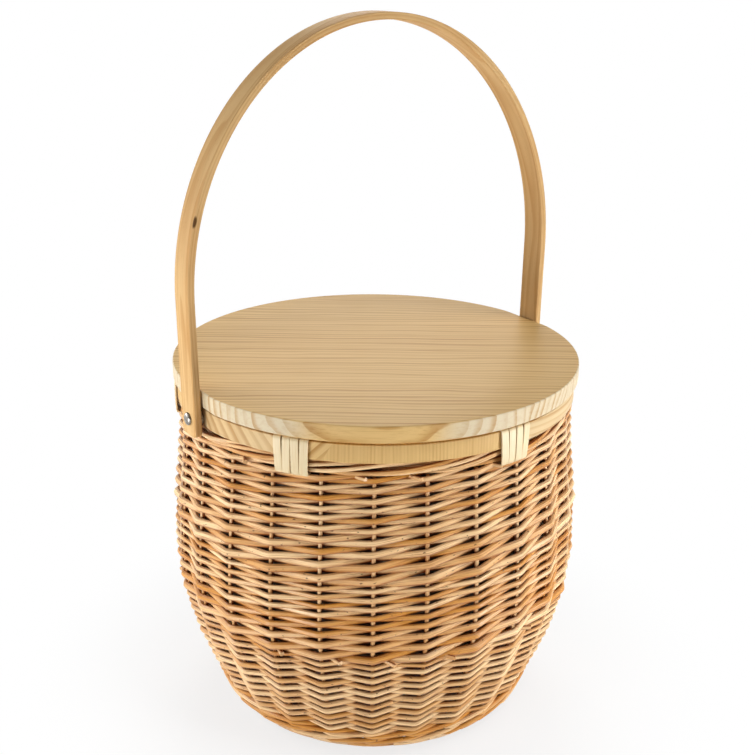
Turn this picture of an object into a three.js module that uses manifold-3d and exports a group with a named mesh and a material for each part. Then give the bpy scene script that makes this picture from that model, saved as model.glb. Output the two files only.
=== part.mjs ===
// A round willow picnic basket with a lift-off pine lid and a bentwood handle that swings on two rivets.
// Millimetres, +Z up. The origin is the centre of the foot, and the two rivets lie along X.
import * as THREE from "three";
import { mergeVertices } from "three/addons/utils/BufferGeometryUtils.js";
import Module from "manifold-3d";

// Wicker wall, given at the centre line of its stakes
const WICKER_HEIGHT = 244;
const FOOT_RADIUS = 113;
const FOOT_FLARE = 0.39; // radius gained for each millimetre of height at the foot
const BELLY_RADIUS = 150.2;
const BELLY_HEIGHT = 128;
const RIM_RADIUS = 142.8;
const WALL_STATIONS = 8; // straight lengths that the wall's curve is drawn with

// Willow rods
const STAKE_COUNT = 26;
const STAKE_DIAMETER = 4;
const UPPER_ROD_DIAMETER = 3.7;
const LOWER_ROD_DIAMETER = 4.1;
const LOWER_TOP = 100; // height where the stout lower weave ends and the finer upper weave begins
const CHASING_RODS = 2; // rods that follow each other round, in and out of every second stake
const WEAVE_CLEARANCE = 0.35;
const STEP_UP_STAKES = 2; // stakes over which a finished round climbs to the next
const STEP_UP_AT = 4; // stake, at the back, where each round begins
const BORDER_ROD_DIAMETER = 4.2;
const BORDER_RODS = 3;
const BORDER_TWISTS = 6;
const BORDER_STEPS = 36;

// Foot, base and liner
const FOOT_HEIGHT = 8;
const FOOT_WIDTH = 12;
const FOOT_EDGE = 2;
const BASE_THICKNESS = 6;
const BASE_CROWN = 4; // how far the middle of the base rises clear of the ground
const BASE_RIBS = 3;
const BASE_RIB_DEPTH = 1.2;
const LINER_THICKNESS = 4;
const FIT_GAP = 0.3;

// Rim ring and the cane that binds it to the border
const RING_DIAMETER = 295;
const RING_WIDTH = 16;
const RING_HEIGHT = 13;
const RING_EDGE = 1.2;
const RING_SEAT_DEPTH = 1.5; // flat cut into the ring for each spacer
const LASHING_COUNT = 6;
const LASHING_START_DEG = 34;
const LASHING_TURNS = 4;
const CANE_WIDTH = 5.6;
const CANE_THICKNESS = 1.2;
const CANE_SPACING = 1; // between neighbouring turns

// Lid
const LID_DIAMETER = 300;
const LID_THICKNESS = 12;
const LID_EDGE = 1.5;
const LID_LEG_GAP = 1.4; // between the lid's flats and the legs of the handle
const LOCATING_DEPTH = 8;
const LOCATING_PLAY = 2;

// Handle and rivets
const HANDLE_WIDTH = 20;
const HANDLE_THICKNESS = 5;
const HANDLE_EDGE = 0.8;
const PIVOT_ABOVE_RING_FOOT = 5.5;
const LEG_TAIL = 12; // length of each leg below its rivet
const LEG_CORNER = 4;
const BOW_SPRING = 84.5; // height of the bow's springing above the rivets
const BOW_SPREAD = 1.1; // how far each leg leans out up to the springing
const BOW_RISE = 178;
const RIVET_DIAMETER = 5;
const RIVET_HEAD_DIAMETER = 9;
const RIVET_HEAD_HEIGHT = 2.4;
const RIVET_CLENCH = 1.6;
const SPACER_DIAMETER = 14;
const SPACER_THICKNESS = 2.8;
const BURR_DIAMETER = 12;
const BURR_THICKNESS = 1.2;

// Facets
const ROUND_SEGMENTS = 48;
const FOOT_SEGMENTS = 30;
const SMALL_SEGMENTS = 12;
const BOW_SEGMENTS = 14;

const finish = {
  willow: new THREE.MeshStandardMaterial({ color: 0xc8924f, roughness: 0.6 }),
  stake: new THREE.MeshStandardMaterial({ color: 0xd9ab6c, roughness: 0.6 }),
  pine: new THREE.MeshStandardMaterial({ color: 0xd4b482, roughness: 0.55 }),
  bentwood: new THREE.MeshStandardMaterial({ color: 0xdab880, roughness: 0.5 }),
  cane: new THREE.MeshStandardMaterial({ color: 0xf0e4c8, roughness: 0.45 }),
  fabric: new THREE.MeshStandardMaterial({ color: 0x9a958f, roughness: 0.95 }),
  steel: new THREE.MeshStandardMaterial({ color: 0xb9b5ad, roughness: 0.35, metalness: 1 }),
};

const basket = new THREE.Group();

function add(name, geometry, material) {
  const mesh = new THREE.Mesh(geometry, material);
  mesh.name = name;
  basket.add(mesh);
  return mesh;
}

// Closed geometry helpers

function signedVolume(position, index) {
  const a = new THREE.Vector3();
  const b = new THREE.Vector3();
  const c = new THREE.Vector3();
  let sum = 0;
  for (let i = 0; i < index.length; i += 3) {
    a.fromBufferAttribute(position, index[i]);
    b.fromBufferAttribute(position, index[i + 1]);
    c.fromBufferAttribute(position, index[i + 2]);
    sum += a.dot(b.cross(c)) / 6;
  }
  return sum;
}

// Merge shared corners, drop faces that have shrunk to a line, and turn every face outwards
function closed(geometry) {
  geometry.deleteAttribute("normal");
  geometry.deleteAttribute("uv");
  const merged = mergeVertices(geometry, 1e-4);
  const faces = [];
  const all = merged.index.array;
  for (let i = 0; i < all.length; i += 3) {
    const face = [all[i], all[i + 1], all[i + 2]];
    if (new Set(face).size === 3) faces.push(...face);
  }
  if (signedVolume(merged.getAttribute("position"), faces) < 0) faces.reverse();
  merged.setIndex(faces);
  merged.computeVertexNormals();
  return merged;
}

// Skin over a row of sections, each a list of points in the same order
function skin(sections, joined) {
  const sides = sections[0].length;
  const spans = joined ? sections.length : sections.length - 1;
  const faces = [];
  for (let i = 0; i < spans; i++) {
    const here = i * sides;
    const next = ((i + 1) % sections.length) * sides;
    for (let j = 0; j < sides; j++) {
      const k = (j + 1) % sides;
      faces.push(here + j, next + j, next + k, here + j, next + k, here + k);
    }
  }
  const end = (sections.length - 1) * sides;
  for (let j = 1; j < sides - 1 && !joined; j++) {
    faces.push(0, j, j + 1, end, end + j + 1, end + j);
  }
  const geometry = new THREE.BufferGeometry().setFromPoints(sections.flat());
  geometry.setIndex(faces);
  return closed(geometry);
}

// Solid of revolution about Z from points of radius and height
function turned(profile, segments) {
  const points = profile.map(([radius, height]) => new THREE.Vector2(radius, height));
  const lathe = new THREE.LatheGeometry(points, segments);
  return closed(lathe.rotateX(Math.PI / 2));
}

const wasm = await Module();
wasm.setup();

function toManifold(geometry) {
  const vertProperties = new Float32Array(geometry.getAttribute("position").array);
  const triVerts = new Uint32Array(geometry.index.array);
  return new wasm.Manifold(new wasm.Mesh({ numProp: 3, vertProperties, triVerts }));
}

function cut(geometry, tools) {
  let solid = toManifold(geometry);
  for (const tool of tools) solid = solid.subtract(toManifold(closed(tool)));
  const mesh = solid.getMesh();
  const result = new THREE.BufferGeometry();
  result.setAttribute("position", new THREE.BufferAttribute(mesh.vertProperties, 3));
  result.setIndex([...mesh.triVerts]);
  return closed(result);
}

function boreAlongX(diameter, length, height) {
  const bore = new THREE.CylinderGeometry(diameter / 2, diameter / 2, length, SMALL_SEGMENTS);
  return bore.rotateZ(Math.PI / 2).translate(0, 0, height);
}

function cylindrical(radius, angle, height) {
  return new THREE.Vector3(radius * Math.cos(angle), radius * Math.sin(angle), height);
}

// Wicker wall: its curve, and a frame of normal and upward directions on it

function smoothWall(height) {
  const below = height < BELLY_HEIGHT;
  const span = below ? BELLY_HEIGHT : WICKER_HEIGHT - BELLY_HEIGHT;
  const t = below ? height / span : (height - BELLY_HEIGHT) / span;
  const from = below ? FOOT_RADIUS : BELLY_RADIUS;
  const to = below ? BELLY_RADIUS : RIM_RADIUS;
  const blend = t * t * (3 - 2 * t);
  const flare = below ? FOOT_FLARE * span * t * (1 - t) * (1 - t) : 0;
  return from + (to - from) * blend + flare;
}

const stationStep = WICKER_HEIGHT / WALL_STATIONS;
const stations = Array.from({ length: WALL_STATIONS + 1 }, (_, i) => i * stationStep);

// Radius, normal and upward direction of the faceted wall at a height
function wallAt(height) {
  const i = Math.min(WALL_STATIONS - 1, Math.max(0, Math.floor(height / stationStep)));
  const low = smoothWall(stations[i]);
  const high = smoothWall(stations[i + 1]);
  const slope = (high - low) / stationStep;
  const long = Math.hypot(1, slope);
  return {
    radius: low + slope * (height - stations[i]),
    normal: [1 / long, -slope / long],
    upward: [slope / long, 1 / long],
  };
}

const stakeAngle = (k) => (k * 2 * Math.PI) / STAKE_COUNT;

// Four-sided rod section in the radial plane of an angle, standing off the wall along its normal
function rodSection(angle, height, offset, diameter) {
  const { radius, normal, upward } = wallAt(height);
  const r = radius + offset * normal[0];
  const z = height + offset * normal[1];
  const half = diameter / 2;
  const out = [normal, upward, [-normal[0], -normal[1]], [-upward[0], -upward[1]]];
  return out.map(([dr, dz]) => cylindrical(r + half * dr, angle, z + half * dz));
}

// Border: rods twisted together under the ring

const borderHalfTurn = Math.cos((Math.PI * BORDER_TWISTS) / BORDER_STEPS);
const strandOffset = BORDER_ROD_DIAMETER / Math.sqrt(3) / borderHalfTurn + WEAVE_CLEARANCE;
const borderHalf = strandOffset + BORDER_ROD_DIAMETER / 2;
const borderHeight = WICKER_HEIGHT - WEAVE_CLEARANCE - borderHalf;
const borderRadius = wallAt(borderHeight).radius;
const borderFoot = borderHeight - borderHalf;

function borderRod(number) {
  const half = BORDER_ROD_DIAMETER / 2;
  const sections = [];
  for (let i = 0; i < BORDER_STEPS; i++) {
    const angle = (i * 2 * Math.PI) / BORDER_STEPS;
    const twist = BORDER_TWISTS * angle + (number * 2 * Math.PI) / BORDER_RODS;
    const r = borderRadius + strandOffset * Math.cos(twist);
    const z = borderHeight + strandOffset * Math.sin(twist);
    const corners = [[half, 0], [0, half], [-half, 0], [0, -half]];
    sections.push(corners.map(([dr, dz]) => cylindrical(r + dr, angle, z + dz)));
  }
  return skin(sections, true);
}

for (let i = 0; i < BORDER_RODS; i++) add(`border_rod_${i + 1}`, borderRod(i), finish.willow);

// Lashings: each is one cane strip, wound round the ring and the border

const ringFoot = WICKER_HEIGHT;
const ringTop = ringFoot + RING_HEIGHT;
const ringOuter = RING_DIAMETER / 2;
const ringInner = ringOuter - RING_WIDTH;
const caneCentre = FIT_GAP + CANE_THICKNESS / 2;
const canePitch = CANE_WIDTH + CANE_SPACING;
const lashingWidth = LASHING_TURNS * canePitch - CANE_SPACING;
const cornerCut = RING_EDGE + FIT_GAP;
const lashingAngle = (i) => THREE.MathUtils.degToRad(LASHING_START_DEG + (i * 360) / LASHING_COUNT);

// One turn as radius, height and share of the next turn gained. It runs square up the outside, and leans
// over to the next turn on the hidden inner side.
function lashingTurn() {
  const out = Math.max(ringOuter, borderRadius + borderHalf) + caneCentre;
  const top = ringTop + caneCentre;
  const inRing = ringInner - caneCentre;
  const inBorder = borderRadius - borderHalf - caneCentre;
  const foot = borderFoot - caneCentre;
  return [
    [inBorder + cornerCut, foot, 0],
    [out - cornerCut, foot, 0],
    [out, foot + cornerCut, 0],
    [out, top - cornerCut, 0],
    [out - cornerCut, top, 0],
    [inRing + cornerCut, top, 0],
    [inRing, top - cornerCut, 0.1],
    [inRing, ringFoot - cornerCut, 0.55],
    [inBorder, foot + cornerCut, 0.9],
  ];
}

function lashingPath() {
  const turn = lashingTurn();
  const path = [];
  for (let i = 0; i < LASHING_TURNS; i++) {
    for (const [r, z, gained] of turn) path.push({ r, z, across: (i + gained) * canePitch });
  }
  return path.slice(0, -1);
}

// Direction square to the path at a point, lengthened so that the strip keeps its thickness round a bend
function mitre(path, i) {
  const direction = (from, to) => new THREE.Vector2(to.r - from.r, to.z - from.z).normalize();
  const before = direction(path[Math.max(0, i - 1)], path[Math.max(1, i)]);
  const after = direction(path[Math.min(path.length - 2, i)], path[Math.min(path.length - 1, i + 1)]);
  const along = before.clone().add(after).normalize();
  return new THREE.Vector2(-along.y, along.x).divideScalar(along.dot(before));
}

function lashingSections(angle) {
  const path = lashingPath();
  const start = -lashingWidth / 2;
  return path.map(({ r, z, across }, i) => {
    const square = mitre(path, i).multiplyScalar(CANE_THICKNESS / 2);
    const low = angle + (start + across) / ringOuter;
    const high = low + CANE_WIDTH / ringOuter;
    return [
      cylindrical(r + square.x, low, z + square.y),
      cylindrical(r + square.x, high, z + square.y),
      cylindrical(r - square.x, high, z - square.y),
      cylindrical(r - square.x, low, z - square.y),
    ];
  });
}

// Least distance between the edges of one turn and the next, on points spread along both
function leastSelfGap(sections) {
  const perTurn = lashingTurn().length;
  const edge = (corner, first, last) => {
    const points = [];
    for (let i = first; i < last; i++) {
      for (let s = 0; s < 8; s++) {
        points.push(sections[i][corner].clone().lerp(sections[i + 1][corner], s / 8));
      }
    }
    return points;
  };
  let least = Infinity;
  for (let turn = 0; turn + 1 < LASHING_TURNS; turn++) {
    const first = turn * perTurn;
    const end = Math.min(first + 2 * perTurn, sections.length) - 1;
    for (const a of edge(1, first, first + perTurn)) {
      for (const b of edge(0, first + perTurn, end)) least = Math.min(least, a.distanceTo(b));
    }
  }
  return least;
}

let leastLashingGap = Infinity;
for (let i = 0; i < LASHING_COUNT; i++) {
  const sections = lashingSections(lashingAngle(i));
  leastLashingGap = Math.min(leastLashingGap, leastSelfGap(sections));
  add(`lashing_${i + 1}`, skin(sections, false), finish.cane);
}
console.log(`lashings: least gap of a strip to itself ${leastLashingGap.toFixed(2)} mm`);

// Stakes: they stand on the foot and end under the border, or under the cane where a lashing crosses

function stakeTop(angle) {
  const reach = (lashingWidth / 2 + STAKE_DIAMETER) / borderRadius;
  const crossed = Array.from({ length: LASHING_COUNT }, (_, i) => angle - lashingAngle(i))
    .some((turn) => Math.abs(Math.atan2(Math.sin(turn), Math.cos(turn))) < reach);
  return borderFoot - FIT_GAP - (crossed ? CANE_THICKNESS + FIT_GAP : 0);
}

function stake(k) {
  const angle = stakeAngle(k);
  const half = STAKE_DIAMETER / 2;
  const foot = FOOT_HEIGHT + FIT_GAP;
  const top = stakeTop(angle);
  const heights = [foot, ...stations.filter((z) => z > foot && z < top), top];
  const around = new THREE.Vector3(-Math.sin(angle), Math.cos(angle), 0).multiplyScalar(half);
  const sections = heights.map((z) => {
    const centre = cylindrical(wallAt(z).radius, angle, z);
    const out = cylindrical(half, angle, 0);
    return [
      centre.clone().add(out),
      centre.clone().add(around),
      centre.clone().sub(out),
      centre.clone().sub(around),
    ];
  });
  return skin(sections, false);
}

for (let k = 0; k < STAKE_COUNT; k++) {
  add(`stake_${String(k + 1).padStart(2, "0")}`, stake(k), finish.stake);
}

// Weaving: rods that travel round the stakes, level on each round, and step up to the next at the back

function standOff(rodDiameter) {
  return (STAKE_DIAMETER + rodDiameter) / 2 + WEAVE_CLEARANCE;
}

function weaver({ foot, pitch, rounds, diameter }, number) {
  const offset = standOff(diameter);
  const level = STAKE_COUNT - STEP_UP_STAKES;
  const sections = [];
  for (let n = 0; n < rounds * STAKE_COUNT - STEP_UP_STAKES; n++) {
    const within = n % STAKE_COUNT;
    const climbed = Math.floor(n / STAKE_COUNT) + Math.max(0, (within - level) / STEP_UP_STAKES);
    const height = foot + (climbed * CHASING_RODS + number) * pitch;
    const side = (n + number) % CHASING_RODS === 0 ? 1 : -1;
    sections.push(rodSection(stakeAngle(STEP_UP_AT + n), height, side * offset, diameter));
  }
  return skin(sections, false);
}

// Rounds that fit between two heights, and the pitch that fills the space
function band(foot, top, diameter) {
  const row = diameter + WEAVE_CLEARANCE;
  const rounds = Math.floor((top - foot + WEAVE_CLEARANCE) / (CHASING_RODS * row));
  const pitch = (top - foot - diameter) / (rounds * CHASING_RODS - 1);
  return { foot: foot + diameter / 2, diameter, rounds, pitch };
}

const upperTop = borderFoot - CANE_THICKNESS - 2 * FIT_GAP;
const bands = {
  lower: band(FOOT_HEIGHT + LOWER_ROD_DIAMETER / 2, LOWER_TOP, LOWER_ROD_DIAMETER),
  upper: band(LOWER_TOP + WEAVE_CLEARANCE, upperTop, UPPER_ROD_DIAMETER),
};
for (const [name, rows] of Object.entries(bands)) {
  for (let i = 0; i < CHASING_RODS; i++) {
    add(`${name}_weaver_${"ab"[i]}`, weaver(rows, i), finish.willow);
  }
}

// Foot border, grooved between the two rods that show on its outside, and the crowned base inside it

const footOuter = FOOT_RADIUS + FOOT_WIDTH / 2;
const footInner = FOOT_RADIUS - FOOT_WIDTH / 2;

function footProfile() {
  const middle = FOOT_HEIGHT / 2;
  return [
    [footInner, FOOT_EDGE],
    [footInner + FOOT_EDGE, 0],
    [footOuter - FOOT_EDGE, 0],
    [footOuter, FOOT_EDGE],
    [footOuter - FOOT_EDGE / 2, middle],
    [footOuter, FOOT_HEIGHT - FOOT_EDGE],
    [footOuter - FOOT_EDGE, FOOT_HEIGHT],
    [footInner, FOOT_HEIGHT],
    [footInner, FOOT_EDGE],
  ];
}

add("foot_border", turned(footProfile(), FOOT_SEGMENTS), finish.willow);

const baseRadius = footInner - FIT_GAP;
const baseFoot = FOOT_EDGE;

function baseProfile() {
  const underside = (r) => baseFoot + BASE_CROWN * (1 - (r / baseRadius) ** 2);
  const points = [[0, underside(0)]];
  const ribWidth = baseRadius / BASE_RIBS;
  for (let i = 0; i < BASE_RIBS; i++) {
    const ridge = (i + 0.5) * ribWidth;
    const groove = (i + 1) * ribWidth;
    points.push([ridge, underside(ridge)]);
    points.push([groove, underside(groove) + BASE_RIB_DEPTH]);
  }
  points.push([baseRadius, baseFoot + BASE_THICKNESS]);
  points.push([0, baseFoot + BASE_CROWN + BASE_THICKNESS]);
  return points;
}

add("woven_base", turned(baseProfile(), FOOT_SEGMENTS), finish.willow);

// Liner: an open bag that stands on the base and lies against the inside of the weave

const linerFoot = baseFoot + BASE_CROWN + BASE_THICKNESS + FIT_GAP;
const linerTop = upperTop - FIT_GAP;
const linerDepth = standOff(LOWER_ROD_DIAMETER) + LOWER_ROD_DIAMETER / 2 + FIT_GAP;

function linerProfile() {
  const heights = [linerFoot, ...stations.filter((z) => z > linerFoot && z < linerTop), linerTop];
  const outer = heights.map((z) => [wallAt(z).radius - linerDepth / wallAt(z).normal[0], z]);
  const inner = outer.map(([r, z]) => [r - LINER_THICKNESS, Math.max(z, linerFoot + LINER_THICKNESS)]);
  return [[0, linerFoot], ...outer, ...inner.reverse(), [0, linerFoot + LINER_THICKNESS]];
}

add("liner", turned(linerProfile(), STAKE_COUNT), finish.fabric);

// Rim ring, with a flat seat and a bore at each rivet

const pivotHeight = ringFoot + PIVOT_ABOVE_RING_FOOT;
const seat = ringOuter - RING_SEAT_DEPTH;
const rivetBore = RIVET_DIAMETER + 2 * FIT_GAP;

function boxBeyond(x, side) {
  const size = RING_DIAMETER;
  return new THREE.BoxGeometry(size, size, size).translate(side * (x + size / 2), 0, ringTop);
}

function ringProfile() {
  return [
    [ringInner, ringFoot],
    [ringOuter, ringFoot],
    [ringOuter, ringTop - RING_EDGE],
    [ringOuter - RING_EDGE, ringTop],
    [ringInner + RING_EDGE, ringTop],
    [ringInner, ringTop - RING_EDGE],
    [ringInner, ringFoot],
  ];
}

const ringBore = boreAlongX(rivetBore, RING_DIAMETER + RING_WIDTH, pivotHeight);
const ringCuts = [boxBeyond(seat, 1), boxBeyond(seat, -1), ringBore];
add("rim_ring", cut(turned(ringProfile(), ROUND_SEGMENTS), ringCuts), finish.pine);

// Lid board, flattened beside the legs, and the disc under it that drops inside the ring

const legInner = seat + SPACER_THICKNESS + 2 * FIT_GAP;
const legOuter = legInner + HANDLE_THICKNESS;
const lidFoot = ringTop + CANE_THICKNESS + 2 * FIT_GAP;
const lidTop = lidFoot + LID_THICKNESS;
const lidRadius = LID_DIAMETER / 2;

function lidProfile() {
  return [
    [0, lidFoot],
    [lidRadius - LID_EDGE, lidFoot],
    [lidRadius, lidFoot + LID_EDGE],
    [lidRadius, lidTop - LID_EDGE],
    [lidRadius - LID_EDGE, lidTop],
    [0, lidTop],
  ];
}

const lidFlat = legInner - LID_LEG_GAP;
const lidCuts = [boxBeyond(lidFlat, 1), boxBeyond(lidFlat, -1)];
add("lid_board", cut(turned(lidProfile(), ROUND_SEGMENTS), lidCuts), finish.pine);

const locatingRadius = ringInner - 2 * FIT_GAP - CANE_THICKNESS - LOCATING_PLAY;

function locatingProfile() {
  const foot = lidFoot - FIT_GAP - LOCATING_DEPTH;
  return [
    [0, foot],
    [locatingRadius - LID_EDGE, foot],
    [locatingRadius, foot + LID_EDGE],
    [locatingRadius, lidFoot - FIT_GAP],
    [0, lidFoot - FIT_GAP],
  ];
}

add("lid_locating_disc", turned(locatingProfile(), ROUND_SEGMENTS), finish.pine);

// Handle: one bent strip, an elliptical bow on two legs

function bowShape() {
  const tail = pivotHeight - LEG_TAIL;
  const spring = pivotHeight + BOW_SPRING;
  const outer = legOuter + BOW_SPREAD - HANDLE_EDGE;
  const inner = legInner + BOW_SPREAD + HANDLE_EDGE;
  const rise = BOW_RISE - HANDLE_EDGE;
  const innerRise = BOW_RISE - HANDLE_THICKNESS + HANDLE_EDGE;
  const shape = new THREE.Shape();
  shape.moveTo(legOuter - HANDLE_EDGE, tail);
  shape.lineTo(outer, spring);
  shape.absellipse(0, spring, outer, rise, 0, Math.PI, false);
  shape.lineTo(HANDLE_EDGE - legOuter, tail);
  shape.lineTo(-legInner - HANDLE_EDGE, tail);
  shape.lineTo(-inner, spring);
  shape.absellipse(0, spring, inner, innerRise, Math.PI, 0, true);
  shape.lineTo(legInner + HANDLE_EDGE, tail);
  return shape;
}

// What is cut away to round the lower corners of both legs
function legEndCutter() {
  const wide = HANDLE_WIDTH;
  const half = HANDLE_WIDTH / 2;
  const inside = half - LEG_CORNER;
  const foot = pivotHeight - LEG_TAIL;
  const shape = new THREE.Shape();
  shape.moveTo(-wide, foot - LEG_TAIL);
  shape.lineTo(wide, foot - LEG_TAIL);
  shape.lineTo(wide, foot + LEG_CORNER);
  shape.lineTo(half, foot + LEG_CORNER);
  shape.absarc(inside, foot + LEG_CORNER, LEG_CORNER, 0, -Math.PI / 2, true);
  shape.absarc(-inside, foot + LEG_CORNER, LEG_CORNER, -Math.PI / 2, -Math.PI, true);
  shape.lineTo(-wide, foot + LEG_CORNER);
  const across = 2 * legOuter + HANDLE_WIDTH;
  const tool = new THREE.ExtrudeGeometry(shape, { depth: across, bevelEnabled: false, curveSegments: 4 });
  return tool.translate(0, 0, -across / 2).rotateX(Math.PI / 2).rotateZ(Math.PI / 2);
}

function handleBow() {
  const depth = HANDLE_WIDTH - 2 * HANDLE_EDGE;
  const strip = new THREE.ExtrudeGeometry(bowShape(), {
    depth,
    bevelThickness: HANDLE_EDGE,
    bevelSize: HANDLE_EDGE,
    bevelSegments: 1,
    curveSegments: BOW_SEGMENTS,
  });
  strip.translate(0, 0, -depth / 2).rotateX(Math.PI / 2);
  return cut(closed(strip), [legEndCutter(), boreAlongX(rivetBore, 3 * legOuter, pivotHeight)]);
}

add("handle_bow", handleBow(), finish.bentwood);

// Rivets and washers, turned about their own axis and laid along X on both sides

const burrFace = ringInner * Math.cos(Math.asin(BURR_DIAMETER / 2 / ringInner)) - FIT_GAP;
const clenchFace = burrFace - BURR_THICKNESS - FIT_GAP;
const headFace = legOuter + FIT_GAP;

function rivetProfile() {
  const shank = RIVET_DIAMETER / 2;
  const head = RIVET_HEAD_DIAMETER / 2;
  const dome = [0, 1, 2, 3].map((i) => {
    const rise = (i * Math.PI) / 8;
    return [head * Math.cos(rise), headFace + RIVET_HEAD_HEIGHT * Math.sin(rise)];
  });
  return [
    [0, clenchFace - RIVET_CLENCH],
    [shank, clenchFace - RIVET_CLENCH],
    [shank + RIVET_CLENCH, clenchFace],
    [shank, clenchFace],
    [shank, headFace],
    ...dome,
    [0, headFace + RIVET_HEAD_HEIGHT],
  ];
}

function washerProfile(diameter, from, thickness) {
  const hole = rivetBore / 2;
  const edge = diameter / 2;
  return [[hole, from], [edge, from], [edge, from + thickness], [hole, from + thickness], [hole, from]];
}

for (const [name, turn] of [["right", Math.PI / 2], ["left", -Math.PI / 2]]) {
  const spacer = washerProfile(SPACER_DIAMETER, seat + FIT_GAP, SPACER_THICKNESS);
  const burr = washerProfile(BURR_DIAMETER, burrFace - BURR_THICKNESS, BURR_THICKNESS);
  for (const [piece, profile] of [["rivet", rivetProfile()], ["spacer", spacer], ["burr", burr]]) {
    const mesh = add(`${piece}_${name}`, turned(profile, SMALL_SEGMENTS), finish.steel);
    mesh.rotation.y = turn;
    mesh.position.z = pivotHeight;
  }
}

export default basket;
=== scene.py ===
# %% [markdown]
# # A round willow basket with a pine lid
# This lesson dresses a picnic basket whose construction is already settled: the frame holds every piece at
# its real size, in metres, and the joints of the handle and the lid. Blender adds what the eye looks for,
# which is bent rods, wood grain, split cane and cloth. Sizes below are in millimetres, because makers think
# in them, and are turned into metres only where a mesh is made.

# %% Load the frame
import math

import bpy
import numpy as np
from mathutils import Matrix, Vector

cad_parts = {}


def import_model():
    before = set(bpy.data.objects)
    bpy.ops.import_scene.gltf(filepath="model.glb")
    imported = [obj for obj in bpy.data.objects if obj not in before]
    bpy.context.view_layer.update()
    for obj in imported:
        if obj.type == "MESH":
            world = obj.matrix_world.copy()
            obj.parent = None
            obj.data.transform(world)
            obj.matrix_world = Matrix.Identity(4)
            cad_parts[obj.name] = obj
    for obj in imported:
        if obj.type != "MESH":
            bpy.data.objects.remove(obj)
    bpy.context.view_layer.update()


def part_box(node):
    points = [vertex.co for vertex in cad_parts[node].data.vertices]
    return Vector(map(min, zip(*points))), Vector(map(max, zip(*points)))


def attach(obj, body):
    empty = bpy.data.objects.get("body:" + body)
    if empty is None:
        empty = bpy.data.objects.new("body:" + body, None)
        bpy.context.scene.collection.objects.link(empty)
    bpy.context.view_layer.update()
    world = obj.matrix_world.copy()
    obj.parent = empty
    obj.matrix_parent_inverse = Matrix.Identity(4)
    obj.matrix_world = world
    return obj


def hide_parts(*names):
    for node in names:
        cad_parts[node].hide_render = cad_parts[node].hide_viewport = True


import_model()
MM = 0.001
TURN = 2 * math.pi


def box_mm(node):
    return np.array([list(corner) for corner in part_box(node)]) / MM


# %% [markdown]
# ## The camera
# The picture was taken from a little above the rim and well round to the left of the front. A camera can be
# aimed with a constraint, but building its three axes by hand also gives the slight roll of the picture.

# %% Camera
CAMERA_AZIMUTH = -34.66  # degrees, from the front
CAMERA_ELEVATION = 20.17
CAMERA_ROLL = 0.59
CAMERA_DISTANCE = 869.86
CAMERA_LENS = 55.04
AIM_ASIDE = 1.33
AIM_HEIGHT = 248.52


def towards(azimuth, elevation):
    """Direction from the middle of the basket, by two angles in radians."""
    level = math.cos(elevation)
    return Vector((math.sin(azimuth) * level, -math.cos(azimuth) * level, math.sin(elevation)))


def place_camera():
    azimuth, elevation, roll = np.radians([CAMERA_AZIMUTH, CAMERA_ELEVATION, CAMERA_ROLL])
    back = towards(azimuth, elevation)
    right = Vector((math.cos(azimuth), math.sin(azimuth), 0))
    up = back.cross(right)
    tilted = [
        right * math.cos(roll) + up * math.sin(roll),
        up * math.cos(roll) - right * math.sin(roll),
        back,
    ]
    camera = bpy.data.objects.new("camera", bpy.data.cameras.new("camera"))
    camera.data.lens = CAMERA_LENS
    camera.matrix_world = Matrix(tilted).transposed().to_4x4()
    camera.location = (right * AIM_ASIDE + Vector((0, 0, AIM_HEIGHT)) + back * CAMERA_DISTANCE) * MM
    bpy.context.scene.collection.objects.link(camera)
    bpy.context.scene.camera = camera
    return camera


print("camera at", [round(v, 3) for v in place_camera().location])

# %% [markdown]
# ## Writing shaders as sums
# A material is a net of nodes, and nets are hard to read as code. The class below wraps one output socket, so
# that `1 - mask * 0.5` adds the Math nodes by itself. Every other node comes from one method, which takes the
# node's type, its settings and what goes into its sockets.

# %% A socket that can be used in a sum
class Shade:
    """One output socket of a node."""

    def __init__(self, finish, socket):
        self.finish = finish
        self.socket = socket

    def math(self, operation, *others):
        return self.finish.math(operation, self, *others)

    def __add__(self, other):
        return self.math("ADD", other)

    def __sub__(self, other):
        return self.math("SUBTRACT", other)

    def __rsub__(self, other):
        return self.finish.math("SUBTRACT", other, self)

    def __mul__(self, other):
        return self.math("MULTIPLY", other)

    def __truediv__(self, other):
        return self.math("DIVIDE", other)

    __radd__ = __add__

    def floor(self):
        return self.math("FLOOR")

    def fraction(self):
        return self.math("FRACT")

    def rise(self, low, high):
        """0 below low, 1 above high and smooth between."""
        settings = {"interpolation_type": "SMOOTHSTEP"}
        inputs = {"Value": self, "From Min": low, "From Max": high}
        return self.finish.node("ShaderNodeMapRange", settings, inputs)

    def stretched(self, *scale):
        """A vector with each of its parts scaled."""
        return self.finish.node("ShaderNodeVectorMath", {"operation": "MULTIPLY"}, {0: self, 1: scale})

    def parts(self):
        """The three parts of a vector."""
        return [self.finish.node("ShaderNodeSeparateXYZ", {}, {0: self}, i) for i in range(3)]


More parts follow.
